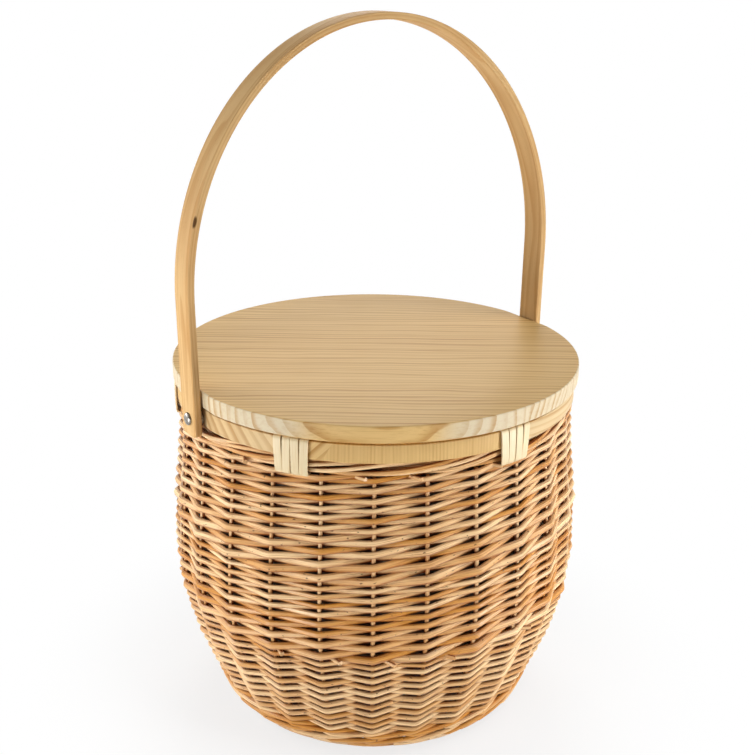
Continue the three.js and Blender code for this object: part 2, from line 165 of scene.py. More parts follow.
# %% A material under construction
class Finish:
    """A material, with methods that add nodes to its net."""

    def __init__(self, name, **constants):
        self.material = bpy.data.materials.new(name)
        self.material.use_nodes = True
        self.tree = self.material.node_tree
        self.shader = self.tree.nodes["Principled BSDF"]
        for socket, value in constants.items():
            self.shader.inputs[socket.replace("_", " ")].default_value = value

    def node(self, kind, settings, inputs, output=0):
        made = self.tree.nodes.new(kind)
        for key, value in settings.items():
            setattr(made, key, value)
        for key, value in inputs.items():
            if isinstance(value, Shade):
                self.tree.links.new(value.socket, made.inputs[key])
            else:
                made.inputs[key].default_value = value
        return Shade(self, made.outputs[output])

    def math(self, operation, *values):
        return self.node("ShaderNodeMath", {"operation": operation}, dict(enumerate(values)))

    def stored(self, name, output="Vector"):
        """A value or vector that the mesh carries at each point."""
        return self.node("ShaderNodeAttribute", {"attribute_name": name}, {}, output)

    def noise(self, vector, detail=2.0):
        return self.node("ShaderNodeTexNoise", {}, {"Vector": vector, "Scale": 1.0, "Detail": detail})

    def chance(self, number):
        """A different random value for each whole number."""
        return self.node("ShaderNodeTexWhiteNoise", {"noise_dimensions": "1D"}, {"W": number})

    def mix(self, share, first, second):
        """Two colours mixed, through those sockets of the node that take colours."""
        inputs = {0: share, 6: first, 7: second}
        return self.node("ShaderNodeMix", {"data_type": "RGBA"}, inputs, 2)

    def feed(self, socket, shade):
        self.tree.links.new(shade.socket, self.shader.inputs[socket])

    def bump(self, height, depth, strength):
        inputs = {"Height": height, "Distance": depth * MM, "Strength": strength}
        self.feed("Normal", self.node("ShaderNodeBump", {}, inputs))

    def done(self):
        print("finish", self.material.name)
        return self.material


def srgb(red, green, blue):
    """A colour as a picture editor gives it, turned into the linear values that Blender works in."""
    shares = np.array([red, green, blue]) / 255
    linear = np.where(shares <= 0.04045, shares / 12.92, ((shares + 0.055) / 1.055) ** 2.4)
    return (*linear.tolist(), 1.0)


print("shader kit ready")

# %% [markdown]
# ## Peeled willow
# Each rod keeps its own colour, from cream to honey, and shows fine streaks along its length and a few dark
# bud marks. Light and shade are painted into that colour as well: a painted highlight on the side that looks
# out of the wall or into the basket, turned a little upwards, painted brown shade on its flanks, and painted
# shade that makes a rod nearly black where it goes behind a stake. A flat texture would show a seam on a
# round rod. So the mesh carries its fibre direction, which is the distance along the rod and the place in its
# round section, and the noise is stretched along it.

# %% Willow
WILLOW_PALE = srgb(250, 215, 163)
WILLOW_DEEP = srgb(208, 142, 56)
WILLOW_STREAK = srgb(156, 82, 14)
# painted shade: brown on a rod's flanks, and near black where a rod lies behind a stake
WILLOW_FLANK_SHADE = srgb(142, 66, 12)
WILLOW_CREVICE_SHADE = srgb(70, 22, 3)
WILLOW_BUD = srgb(104, 60, 28)


def willow():
    finish = Finish("peeled_willow", Specular_IOR_Level=0.35, Coat_Weight=0.1, Coat_Roughness=0.3)
    fibre = finish.stored("fibre")
    tone = finish.stored("tone", "Fac")
    patch = finish.noise(fibre.stretched(0.012, 0.15, 0.15))
    streak = finish.noise(fibre.stretched(0.05, 1.9, 1.9), 3)
    hair = finish.noise(fibre.stretched(0.12, 5.0, 5.0))
    bud = finish.noise(fibre.stretched(0.33, 0.62, 0.62), 0).rise(0.76, 0.83)
    ground = finish.mix((tone * 0.75 + patch * 0.9 - 0.3).rise(0, 1), WILLOW_PALE, WILLOW_DEEP)
    streaked = finish.mix(streak.rise(0.45, 0.75) * 0.7, ground, WILLOW_STREAK)
    # painted light where a rod faces out or in, painted shade on its flanks and near black behind the stakes
    face = finish.stored("face", "Fac")
    flank_shade = finish.mix(1 - face.rise(0.0, 0.95), streaked, WILLOW_FLANK_SHADE)
    crevice_shade = finish.mix(1 - face.rise(-0.4, 0.42), flank_shade, WILLOW_CREVICE_SHADE)
    finish.feed("Base Color", finish.mix(bud * 0.8, crevice_shade, WILLOW_BUD))
    finish.feed("Roughness", 0.28 + hair * 0.22)
    finish.bump(streak * 0.7 + hair * 0.3 + bud, 0.25, 0.6)
    return finish.done()


WILLOW = willow()

# %% [markdown]
# ## Meshes from numbers
# A basket is hundreds of bent rods, too many to model by hand, and a curve object would lose the fibre
# direction when it becomes a mesh. So every piece is built from rows of rings of points, and each point also
# holds what its finish needs to know.

# %% Rows of rings
SHARP_ANGLE = math.radians(38)


def ring_faces(first, rings, sides, joined):
    """Quads between rings of points, and a cap on each end of an open row."""
    faces = []
    for i in range(rings if joined else rings - 1):
        here = first + i * sides
        there = first + (i + 1) % rings * sides
        for j in range(sides):
            k = (j + 1) % sides
            faces.append((here + j, here + k, there + k, there + j))
    if not joined:
        last = first + (rings - 1) * sides
        faces.append(tuple(range(first + sides - 1, first - 1, -1)))
        faces.append(tuple(range(last, last + sides)))
    return faces


class Skin:
    """Rows of rings of points, gathered into one mesh."""

    def __init__(self):
        self.points = []
        self.faces = []
        self.values = {}

    def add(self, rings, joined=False, **values):
        """One row of rings, joined end to end or capped, with a number or a vector for each point."""
        rings = np.asarray(rings)
        count, sides = rings.shape[:2]
        self.faces += ring_faces(sum(len(p) for p in self.points), count, sides, joined)
        self.points.append(rings.reshape(-1, 3))
        for key, value in values.items():
            self.values.setdefault(key, []).append(np.reshape(value, (count * sides, -1)))
        return self

    def piece(self, name, material, body, nodes, slot):
        """The mesh as an object that rides on a body and stands for nodes of the frame."""
        mesh = bpy.data.meshes.new(name)
        mesh.from_pydata((np.concatenate(self.points) * MM).tolist(), [], self.faces)
        for key, rows in self.values.items():
            value = np.float32(np.concatenate(rows))
            kind, field = ("FLOAT_VECTOR", "vector") if value.shape[1] == 3 else ("FLOAT", "value")
            mesh.attributes.new(key, kind, "POINT").data.foreach_set(field, value.ravel())
        mesh.shade_smooth()
        mesh.set_sharp_from_angle(angle=SHARP_ANGLE)
        mesh.materials.append(material)
        piece = bpy.data.objects.new(name, mesh)
        bpy.context.scene.collection.objects.link(piece)
        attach(piece, body)
        if nodes:
            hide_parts(*nodes)
        print(name, len(mesh.polygons), "faces, for", len(nodes), "node(s)")
        return piece


print("a box has", len(ring_faces(0, rings=2, sides=4, joined=False)), "faces")

# %% [markdown]
# ## Rods
# A rod is a row of centre points with a radius at each, and a round section is swept along it. The section's
# first direction points out of the wall, so it never twists.

# %% Rods
CREVICE_SHADE_START = 0.7  # how far behind the stakes' line a painted shade starts to darken a rod
CREVICE_SHADE_DEPTH = 1.6  # and how fast that painted shade deepens
PAINTED_LIGHT_TILT = 0.5  # painted light: the pale side of a rod is turned a little upwards, as if lit from above
ROD_APART = 700  # so that no two rods share their streaks


def unit(vectors):
    return vectors / np.linalg.norm(vectors, axis=-1, keepdims=True)


def polar(radius, angle, height):
    """Points from their distance to the middle, their angle round it and their height."""
    angle = np.asarray(angle)
    return np.stack(np.broadcast_arrays(radius * np.cos(angle), radius * np.sin(angle), height), axis=-1)


def circle(count):
    """Even angles round a circle."""
    return np.arange(count) * TURN / count


def run_along(path):
    """Distance along a line to each of its points."""
    return np.concatenate([[0], np.cumsum(np.linalg.norm(np.diff(path, axis=0), axis=1))])


class Bundle(Skin):
    """Rods in one mesh, with their fibre direction, their tone and each side's painted light or shade."""

    def __init__(self, sides=8):
        super().__init__()
        self.sides = sides

    def lay(self, path, radius, outward, tone, joined=False, pressed=1.0, front=0.0, tilt=0.0):
        """One rod along a path, with painted light where it faces out or in and painted shade elsewhere."""
        shape = len(path), self.sides
        if joined:
            along = unit(np.roll(path, -1, axis=0) - np.roll(path, 1, axis=0))
        else:
            along = unit(np.gradient(path, axis=0))
        out = unit(outward - along * np.sum(outward * along, axis=1, keepdims=True))
        side = np.cross(along, out)
        around = circle(self.sides)
        radius = np.broadcast_to(radius, len(path))[:, None]
        across = radius * np.cos(around) * pressed
        upward = radius * np.sin(around)
        offsets = across[..., None] * out[:, None] + upward[..., None] * side[:, None]
        run = run_along(path) + ROD_APART * len(self.points)
        fibre = np.stack(np.broadcast_arrays(run[:, None], across, upward), axis=-1)
        tones = np.broadcast_to(np.reshape(tone, (-1, 1)), shape)
        front = np.broadcast_to(front, len(path))[:, None]
        # painted light where a side faces out of the wall or in, painted shade on the flanks and behind the
        # stakes
        outside = np.cos(around + tilt) - CREVICE_SHADE_DEPTH * np.maximum(0, -front - CREVICE_SHADE_START)
        inside = -np.cos(around - tilt) - CREVICE_SHADE_DEPTH * np.maximum(0, front - CREVICE_SHADE_START)
        face = np.maximum(outside, inside)
        self.add(path[:, None] + offsets, joined, fibre=fibre, tone=tones, face=face)

    def wicker(self, name, nodes, slot="willow"):
        return self.piece(name, WILLOW, "basket", nodes, slot)


print("mesh kit ready")

# %% [markdown]
# ## The curve of the wall
# The basket swells from its foot to a belly and draws in a little under the rim. The curve is the centre line
# of the uprights, which makers call stakes, and each weaver stands off it by half a stake and half a rod.

# %% Wall curve
WICKER_HEIGHT = 244
FOOT_RADIUS = 113
FOOT_FLARE = 0.39
BELLY_RADIUS = 150.2
BELLY_HEIGHT = 128
RIM_RADIUS = 142.8


def smooth(share):
    """A rise from 0 to 1 that starts and ends level."""
    return share**2 * (3 - 2 * share)


def wall_radius(height):
    """Distance from the middle to the stakes' line at a height."""
    low = np.clip(height / BELLY_HEIGHT, 0, 1)
    high = np.clip((height - BELLY_HEIGHT) / (WICKER_HEIGHT - BELLY_HEIGHT), 0, 1)
    swell = (BELLY_RADIUS - FOOT_RADIUS) * smooth(low)
    flare = FOOT_FLARE * BELLY_HEIGHT * low * (1 - low) ** 2
    return FOOT_RADIUS + swell + flare - (BELLY_RADIUS - RIM_RADIUS) * smooth(high)


def wall_normal(height):
    """How far the wall's outward normal points out, and up, at a height."""
    slope = (wall_radius(height + 1) - wall_radius(height - 1)) / 2
    long = np.hypot(1, slope)
    return 1 / long, -slope / long


print("belly", 2 * BELLY_RADIUS, "mm across at the stakes")

# %% [markdown]
# ## Stakes
# Twenty-six straight uprights carry the weave. They show only as short pale marks between the weavers, but
# without them the wall would look painted on.

# %% Stakes
STAKES = 26
STAKE_DIAMETER = 3.3
STAKE_POINTS = 26
STAKE_TAPER = (1.03, 0.94)
STAKE_TONES = (0.1, 0.6)
STAKE_NODES = [f"stake_{k + 1:02d}" for k in range(STAKES)]
stake_rng = np.random.default_rng(3)


def stakes():
    bundle = Bundle()
    for k, node in enumerate(STAKE_NODES):
        low, high = box_mm(node)
        heights = np.linspace(low[2], high[2], STAKE_POINTS)
        angle = k * TURN / STAKES
        path = polar(wall_radius(heights), angle, heights)
        thick = STAKE_DIAMETER / 2 * np.linspace(*STAKE_TAPER, STAKE_POINTS)
        bundle.lay(path, thick, polar(1, angle, 0), stake_rng.uniform(*STAKE_TONES))
    return bundle.wicker("wicker_stakes", STAKE_NODES, "willow_stake")


stakes()

# %% [markdown]
# ## The woven wall
# The wall is a French rand: every stake has its own rod, which passes in front of one stake and behind the
# next and climbs one row at each. So the rods rise to the right, and the stakes show in level rows between
# them. A sine wave would look like rope: a willow rod is stiff, so it runs straight and bends only at stakes.

# %% One stroke of weaving
BEND = 0.1  # share of the way to the next stake over which a rod bends
# Places of a rod's points on the way to the next stake
SPAN = np.array([0, 0.04, 0.1, 0.3, 0.5, 0.7, 0.9, 0.96])


def weave_side(t):
    """1 in front of one stake and -1 behind the next, straight between, rounded at both."""
    near = np.minimum(t, 1 - t)
    straight = 1 - 2 * near
    bent = 1 - (near**2 + BEND**2) / BEND
    wave = np.where(near < BEND, bent, straight) / (1 - BEND)
    return np.where(t <= 0.5, wave, -wave)


def chord(t):
    """Rods run straight between stakes, so they lie a little inside the round wall there."""
    half = math.pi / STAKES
    return math.cos(half) / np.cos((2 * t - 1) * half)


print("a rod has", len(SPAN), "points from stake to stake")

# %% Rows of a rand
ROD_SPREAD = 0.07  # how much the rods differ in thickness
ROW_JITTER = 0.14  # how unevenly rows are beaten down, in millimetres


def rand_rows(rows, foot, top, taper, rng):
    """Thickness of each rod at each of its strokes, and the height of each row at each stake."""
    share = np.linspace(0, 1, rows)
    thick = np.interp(share, *taper)[:, None] * rng.normal(1, ROD_SPREAD, STAKES)
    row = np.arange(rows)[:, None]
    at_stake = thick[row, (np.arange(STAKES) - row) % STAKES]
    scale = (top - foot) / at_stake.sum(axis=0)
    heights = foot + (np.cumsum(at_stake, axis=0) - at_stake / 2) * scale
    return thick * scale.mean(), heights + rng.normal(0, ROW_JITTER, heights.shape)


# %% One rod of a rand
STAND_OFF = 0.05
PRESSED = 0.84  # thickness of a rod in the wall against its height
ROD_FILL = 1.16  # height of a rod against its row, since rows are beaten into each other
BUTT_PLACE = -1.0  # where a rod begins, in stakes before the first that it passes in front of


def rand_rod(first, thick, heights, swing):
    """Path, radius, outward direction and side of the wall of the rod that begins at one stake."""
    rows = len(heights)
    place = (np.arange(-1, rows - 1)[:, None] + SPAN).ravel()
    place = place[place >= BUTT_PLACE]
    passed = np.arange(rows)
    level = heights[passed, (first + passed) % STAKES]
    height = np.interp(place, passed, level) + np.minimum(place, 0) * thick[0, first]
    radius = np.interp(place, passed, thick[:, first]) * ROD_FILL / 2
    stake = np.floor(place)
    side = np.where(stake % 2 == 0, 1, -1) * weave_side(place - stake)
    offset = side * (STAKE_DIAMETER / 2 + radius * PRESSED + STAND_OFF) * swing
    angle = (first + place) * TURN / STAKES
    out, up = wall_normal(height)
    path = polar(wall_radius(height) * chord(place - stake) + offset * out, angle, height + offset * up)
    return path, radius, polar(out, angle, up), side


# %% Both bands
WALE_TOP = 24
SEAM_HEIGHT = 98
JOIN_HEIGHT = 158
UPPER_TOP = 236
BUTT_TO_TIP = ((0, 0.2, 0.45, 1), (1.36, 1.15, 0.92, 0.86))  # share of a rod's length, and thickness there
STOUT_MIDDLE = ((0, 0.45, 1), (0.96, 1.13, 0.88))
# Strokes, foot, top, thickness, swing round the stakes, painted shade between rods, deepest tone
RANDS = {
    "lower": [(22, WALE_TOP, SEAM_HEIGHT, STOUT_MIDDLE, 1.08, 0.6, 0.72)],
    "upper": [
        (16, SEAM_HEIGHT, JOIN_HEIGHT, BUTT_TO_TIP, 0.76, 0, 1.0),
        (20, JOIN_HEIGHT, UPPER_TOP, BUTT_TO_TIP, 0.76, 0, 1.0),
    ],
}
rand_rng = np.random.default_rng(11)


def weave_band(name, sets):
    """Two pieces, since the rods of a band stand for two weavers of the frame."""
    bundles = [Bundle(), Bundle()]
    for rows, foot, top, taper, swing, shade, deepest in sets:
        thick, heights = rand_rows(rows, foot, top, taper, rand_rng)
        for first in range(STAKES):
            *rod, side = rand_rod(first, thick, heights, swing)
            tone = rand_rng.uniform(0, deepest)
            bundles[first % 2].lay(*rod, tone, pressed=PRESSED, front=side - shade, tilt=PAINTED_LIGHT_TILT)
        thinnest, stoutest = thick.min() * ROD_FILL, thick.max() * ROD_FILL
        print(name, "rods", round(thinnest, 1), "to", round(stoutest, 1), "mm thick")
    for bundle, letter in zip(bundles, "ab"):
        bundle.wicker(f"{name}_weave_{letter}", [f"{name}_weaver_{letter}"])


for band, sets in RANDS.items():
    weave_band(band, sets)

# %% [markdown]
# ## The wale
# Two rounds of a three-rod wale lock the stakes above the foot. Each rod passes outside two stakes and inside
# one, and the three follow each other, so the wale reads as long strokes that rise to the right. At the back
# it steps up to the second round, and its ends run on inside the wall.

# %% Foot wale
WALE_RODS = 3
WALE_ROUNDS = 2
WALE_FOOT = 9.5
ROUND_RODS = 2  # height of a round, in rods
WALE_ROD = (WALE_TOP - WALE_FOOT) / WALE_ROUNDS / ROUND_RODS
WALE_SIDES = np.array([1, 1, -1])
WALE_LEVELS = np.array([0.5, 1.5, 1.0])  # in rods above the round's foot
STEP_UP_AT = 4  # stake, at the back, where each round begins
STEP_UP_STAKES = 1
WALE_SPREAD = (0.97, 1.06)
# painted shade that darkens the wale's rods, most where they lie behind the stakes
WALE_SHADE = 0.35
WALE_TAIL = 0.8  # how far each end runs on inside the wall, in stakes
wale_rng = np.random.default_rng(13)


def step_up(place):
    """0 along a round, and a smooth rise to 1 over its last stakes."""
    climb = np.clip((place % STAKES - STAKES + STEP_UP_STAKES) / STEP_UP_STAKES, 0, 1)
    return smooth(climb)


def wale():
    bundle = Bundle()
    count = WALE_ROUNDS * STAKES - STEP_UP_STAKES
    passed = np.arange(-1, count + 2)
    place = (passed[:-1, None] + SPAN).ravel()
    place = place[(place >= -WALE_TAIL) & (place <= count + WALE_TAIL)]
    lift = np.clip(place // STAKES + step_up(place), 0, WALE_ROUNDS - 1)
    for number in range(WALE_RODS):
        kind = (passed + number) % WALE_RODS
        sides = WALE_SIDES[kind]
        sides[[0, -1]] = -1  # both ends are tucked inside
        side = np.interp(place, passed, sides)
        level = np.interp(place, passed, WALE_LEVELS[kind]) + ROUND_RODS * lift
        height = WALE_FOOT + level * WALE_ROD
        offset = side * (STAKE_DIAMETER + WALE_ROD + STAND_OFF) / 2
        angle = (place + STEP_UP_AT) * TURN / STAKES
        out, up = wall_normal(height)
        path = polar(wall_radius(height) + offset * out, angle, height + offset * up)
        thick = WALE_ROD / 2 * wale_rng.uniform(*WALE_SPREAD)
        tone = wale_rng.uniform(0, 1)
        bundle.lay(path, thick, polar(out, angle, up), tone, front=side - WALE_SHADE, tilt=PAINTED_LIGHT_TILT)
    return bundle.wicker("foot_wale", [])


wale()

# %% [markdown]
# ## Cut ends
# Where a rod runs out, the maker leaves its end between two rows and trims it. A few such ends stick out at
# the seam of the two bands and under the rim. Each is a short rod that comes out of the wall.

# %% Cut ends
TIP_DIAMETER = 3.2
TIP_LENGTH = 11
TIP_POINTS = 4
TIP_LEAN = (-1.5, 2.5)
TIP_SPREAD = (0.85, 1.1)
TIP_TONES = (0, 0.5)
TIP_OUT = 5.2  # how far the end stands out from the stakes' line
TIPS = {  # height: places round the basket, in degrees
    232.5: (229, 243, 196, 266, 101, 138, 12, 52),
    96.5: (223, 237, 207, 253, 279, 150, 88, 31, 343),
}
tip_rng = np.random.default_rng(17)


def tips():
    bundle = Bundle()
    share = np.linspace(0, 1, TIP_POINTS)
    for height, places in TIPS.items():
        for degrees in places:
            levels = height + tip_rng.uniform(*TIP_LEAN) * (share - 0.5)
            angle = math.radians(degrees) + share * TIP_LENGTH / BELLY_RADIUS
            path = polar(wall_radius(levels) + TIP_OUT * (2 * share - 1), angle, levels)
            thick = TIP_DIAMETER / 2 * tip_rng.uniform(*TIP_SPREAD)
            bundle.lay(path, thick, polar(1, angle, 0), tip_rng.uniform(*TIP_TONES))
    return bundle.wicker("rod_ends", [])


tips()

# %% [markdown]
# ## Borders
# Under the ring, the rods that finish the wall lie in a loose bundle and cross each other at a low angle.
# They are strands that orbit the middle of the bundle, and a slow change of twist keeps them from looking
# like rope made by a machine. At the foot, stouter rods are laid one after the other, and the tail of each
# goes inside and under the next.

# %% Rim border
RIM_NODES = [f"border_rod_{i + 1}" for i in range(3)]
RIM_STRANDS = 6
RIM_STRAND = 3.4
RIM_POINTS = 312
RIM_ORBIT = 3.3
RIM_TWISTS = 5
RIM_UNEVENNESS = 0.35
RIM_SWELL = 0.06
border_rng = np.random.default_rng(21)


def rim_strand(bundle, radius, height, phase):
    angle = circle(RIM_POINTS)
    slow = border_rng.uniform(0, TURN, 3)
    uneven = RIM_UNEVENNESS * (np.cos(2 * angle + slow[0]) + np.cos(5 * angle + slow[1]))
    twist = RIM_TWISTS * angle + phase + uneven
    path = polar(radius + RIM_ORBIT * np.cos(twist), angle, height + RIM_ORBIT * np.sin(twist))
    thick = RIM_STRAND / 2 * (1 + RIM_SWELL * np.cos(3 * angle + slow[2]))
    bundle.lay(path, thick, polar(1, angle, 0), border_rng.uniform(0, 1), joined=True)


def rim_border():
    low = np.min([box_mm(node)[0] for node in RIM_NODES], axis=0)
    high = np.max([box_mm(node)[1] for node in RIM_NODES], axis=0)
    half = (high[2] - low[2]) / 2
    for number, node in enumerate(RIM_NODES):
        bundle = Bundle()
        for i in range(number, RIM_STRANDS, len(RIM_NODES)):
            rim_strand(bundle, high[1] - half, low[2] + half, i * TURN / RIM_STRANDS)
        bundle.wicker(f"rim_border_{number + 1}", [node])


rim_border()

# %% Foot border
FOOT_ROD = 4.8
FOOT_ROD_STAKES = 2.8  # stakes that one rod of the foot reaches past
FOOT_ROD_POINTS = 14
FOOT_SPREAD = 3.4  # how far a rod's cut end stands outside the ring's middle, and its tail inside
FOOT_FALL = 4.2
FOOT_START = 0.4  # where rods begin, in stakes, and how far they stray from it
FOOT_STRAY = 0.2
FOOT_ROD_SPREAD = (0.88, 1)
FOOT_TAPER = 0.6
FOOT_CLEARANCE = 1.03


def foot_border():
    ground = box_mm("foot_border")[0][2]
    bundle = Bundle()
    share = np.linspace(0, 1, FOOT_ROD_POINTS)
    for k in range(STAKES):
        start = k + FOOT_START + border_rng.uniform(-FOOT_STRAY, FOOT_STRAY)
        angle = (start + share * FOOT_ROD_STAKES) * TURN / STAKES
        thick = FOOT_ROD / 2 * border_rng.uniform(*FOOT_ROD_SPREAD) * (1 - FOOT_TAPER * share**3)
        radius = FOOT_RADIUS + FOOT_SPREAD * np.cos(share * math.pi)
        height = ground + thick * FOOT_CLEARANCE + FOOT_FALL * (1 - share)
        bundle.lay(polar(radius, angle, height), thick, polar(1, angle, 0), border_rng.uniform(0, 1))
    return bundle.wicker("foot_rods", ["foot_border"])


foot_border()

# %% [markdown]
# ## The base
# A round base is woven like a spider's web: radial sticks, and one long rod that spirals out over and under
# them. With an odd number of sticks the single rod lands on the other side each time it comes round.

# %% Base
BASE_STICKS = 13
BASE_STICK = 2.4
BASE_ROD = 3.0
BASE_PITCH = 3.9
BASE_CENTRE = 14
BASE_CROWN = 0.4  # share of the base's height
STICK_POINTS = 12
STICK_TONE = 0.5
BASE_POINTS = 8  # points of the spiral from stick to stick
DOWN = np.array([0.0, 0.0, -1.0])


def base_middle(radius, low, high):
    """Height of the base's middle layer, which is crowned."""
    crown = (high[2] - low[2]) * BASE_CROWN
    return (low[2] + high[2] - crown) / 2 + crown * (1 - (radius / high[0]) ** 2)


def base():
    low, high = box_mm("woven_base")
    bundle = Bundle(sides=6)
    reach = high[0] - BASE_ROD / 2
    radii = np.linspace(BASE_CENTRE / 2, reach, STICK_POINTS)
    for k in range(BASE_STICKS):
        path = polar(radii, k * TURN / BASE_STICKS, base_middle(radii, low, high))
        bundle.lay(path, BASE_STICK / 2, DOWN, STICK_TONE)
    turns = (reach - BASE_CENTRE) / BASE_PITCH
    angle = np.arange(0, turns * BASE_STICKS * BASE_POINTS) * TURN / BASE_STICKS / BASE_POINTS
    radii = BASE_CENTRE + BASE_PITCH * angle / TURN
    weave = (BASE_STICK + BASE_ROD) / 2 * np.cos(angle * BASE_STICKS / 2)
    path = polar(radii, angle, base_middle(radii, low, high) + weave)
    turn = np.int32(angle / TURN)
    tones = border_rng.uniform(0, 1, turn[-1] + 1)[turn]
    bundle.lay(path, BASE_ROD / 2, DOWN, tones)
    return bundle.wicker("base_weave", ["woven_base"])


base()

# %% [markdown]
# ## Pine
# The lid is a glued panel of narrow boards. On a real board the grain on the face and the rings on its edge
# are one pattern, because the year rings run through the wood. So the colour is worked out in the solid: each
# board has rings along its length, and the face and the edge cut through the same rings.

# %% Pine
PINE_EARLY = srgb(222, 186, 124)
PINE_LATE = srgb(184, 136, 72)
PINE_FIBRE = srgb(178, 132, 72)
PINE_END = srgb(216, 201, 170)
PINE_END_LATE = srgb(190, 153, 106)
BOARD_WIDTH = 58
RING_SPACING = 5.4
RING_LEAN = 0.35  # how far year rings may lean through the thickness of a board


def pine(name="sanded_pine", board_width=BOARD_WIDTH, spacing=RING_SPACING):
    finish = Finish(name, Specular_IOR_Level=0.15)
    grain = finish.stored("grain")
    end = finish.stored("end", "Fac").rise(0.2, 0.42)
    calm = finish.stored("calm", "Fac")
    across, deep = grain.parts()[1:]
    luck = finish.chance((across / board_width).floor())
    wander = finish.noise(grain.stretched(0.0025, 0.02, 0.02), 1)
    sway = finish.noise(grain.stretched(0.014, 0.025, 0.01), 1)
    wobble = finish.noise(grain.stretched(0.008, 0.16, 0.03), 1)
    lean = deep * (luck * 2 - 1) * RING_LEAN
    years = (across + lean) / spacing + wander * 4.3 + sway * 1.3 + wobble * 0.9 + luck * 9
    year = years.fraction()
    late = year.rise(0.35, 0.88) * (1 - year.rise(0.93, 1.0))
    strength = finish.chance(years.floor()) * 0.75 + 0.2
    line = finish.noise(grain.stretched(0.005, 0.75, 0.75), 2).rise(0.46, 0.72)
    fibre = finish.noise(grain.stretched(0.03, 2.6, 2.6), 3).rise(0.5, 0.8)
    dark = (late * strength + line * 0.35) * (1 - calm)
    long_grain = finish.mix(dark, PINE_EARLY, PINE_LATE)
    warmed = finish.mix(luck * 0.2 + fibre * 0.25, long_grain, PINE_FIBRE)
    end_grain = finish.mix(late * strength + line * 0.2, PINE_END, PINE_END_LATE)
    finish.feed("Base Color", finish.mix(end, warmed, end_grain))
    finish.feed("Roughness", 0.48 + fibre * 0.15)
    finish.bump(fibre * 0.6 - late * 0.4, 0.12, 0.5)
    return finish.done()


PINE = pine()

# %% [markdown]
# ## Turned and flattened boards
# The lid, the disc under it and the rim ring are all round boards with eased edges. A lathe would do for a
# full circle, but the lid and the ring have a short flat beside each leg of the handle. So each ring of
# points is a circle cut by two lines, and the profile sets how far it lies inside the outline.

# %% Flattened circles
ROUND_POINTS = 216
GRAIN_DIRECTION = (0.82, -0.57)
EDGE_STEPS = 4


def cut_circle(radius, flat, angle):
    """Distance from the middle to a circle that is cut off at x = flat on both sides."""
    return np.minimum(radius, flat / np.maximum(np.abs(np.cos(angle)), 1e-6))


def eased(inner, outer, low, high, edge):
    """Section of a board with rounded edges, as reach, height and how far the surface faces outwards."""
    turn = np.linspace(0, math.pi / 2, EDGE_STEPS + 1)
    foot = [(outer - edge + edge * math.sin(a), low + edge - edge * math.cos(a), math.sin(a)) for a in turn]
    top = [(outer - edge + edge * math.cos(a), high - edge + edge * math.sin(a), math.cos(a)) for a in turn]
    return [(inner, low, 0), *foot, *top, (inner, high, 0)]


def lid_grain(points):
    """Distance along the boards, across them and through them."""
    lead = np.array(GRAIN_DIRECTION) / np.hypot(*GRAIN_DIRECTION)
    along = points[..., :2] @ lead
    across = points[..., :2] @ np.array([-lead[1], lead[0]])
    return np.stack([along, across, points[..., 2]], axis=-1)


# %% Lid and locating disc
LID_EDGE = 1.1
LID_CALM = 0.1  # how much the year lines fade on the sanded face
LID_RINGS = (0.25, 0.5, 0.75)  # extra rings of points on the faces, as shares of the radius


def round_board(name, node):
    low, high = box_mm(node)
    radius, flat = high[1], high[0]
    outline = eased(radius * LID_RINGS[-1], radius, low[2], high[2], LID_EDGE)
    inner = [(radius * share, low[2], 0) for share in LID_RINGS[:-1]]
    upper = [(r, high[2], 0) for r, z, side in reversed(inner)]
    angle = circle(ROUND_POINTS)
    across_grain = np.abs(np.cos(angle - math.atan2(GRAIN_DIRECTION[1], GRAIN_DIRECTION[0])))
    rings, end = [], []
    for reach, height, side in [*inner, *outline, *upper]:
        rings.append(polar(cut_circle(reach, max(flat - radius + reach, 1), angle), angle, height))
        end.append(side * across_grain)
    rings = np.array(rings)
    calm = np.full(rings.shape[:2], LID_CALM)
    skin = Skin().add(rings, grain=lid_grain(rings), end=np.array(end), calm=calm)
    return skin.piece(name, PINE, "lid", [node], "pine")


round_board("pine_lid", "lid_board")
round_board("pine_locating_disc", "lid_locating_disc")

# %% [markdown]
# ## The rim ring
# The ring is glued up from lengths of pine, and every length shows another face of the wood: slanting rings,
# upright end grain or plain long grain, and some are paler. Each length is its own closed sector, and its
# joints slant.

# %% Rim ring
RING_EDGE = 0.8
RING_CLEARANCE = 3.8  # from the locating disc to the ring
JOINT_SLANT = 7  # how far a joint leans over the height of the ring
# First joint and slope of the year rings in degrees, how far apart they are, how faint, how near to end grain
RING_LENGTHS = (
    (214, -48, 6.5, -0.7, 0.22),
    (223.5, 90, 2.4, 0.55, 0),
    (274, 4, 5.0, 0.2, 0.31),
    (325, 62, 4.5, 0, 0),
    (376, -8, 4.2, 0.2, 0),
    (427, 80, 2.6, 0.4, 0.3),
    (478, 15, 5.0, 0.2, 0),
    (529, 52, 7.5, -0.7, 0.29),
    (574, 0, 0, 0, 0),
)
DEGREES_A_SECTION = 1.5
LENGTH_APART = 90, 31  # along and across, so that no two lengths share their grain
RING_PINE = pine("ring_pine", board_width=4000, spacing=1)  # no glue lines, and across it counts in years


def ring_inside():
    return box_mm("lid_locating_disc")[1][0] + RING_CLEARANCE


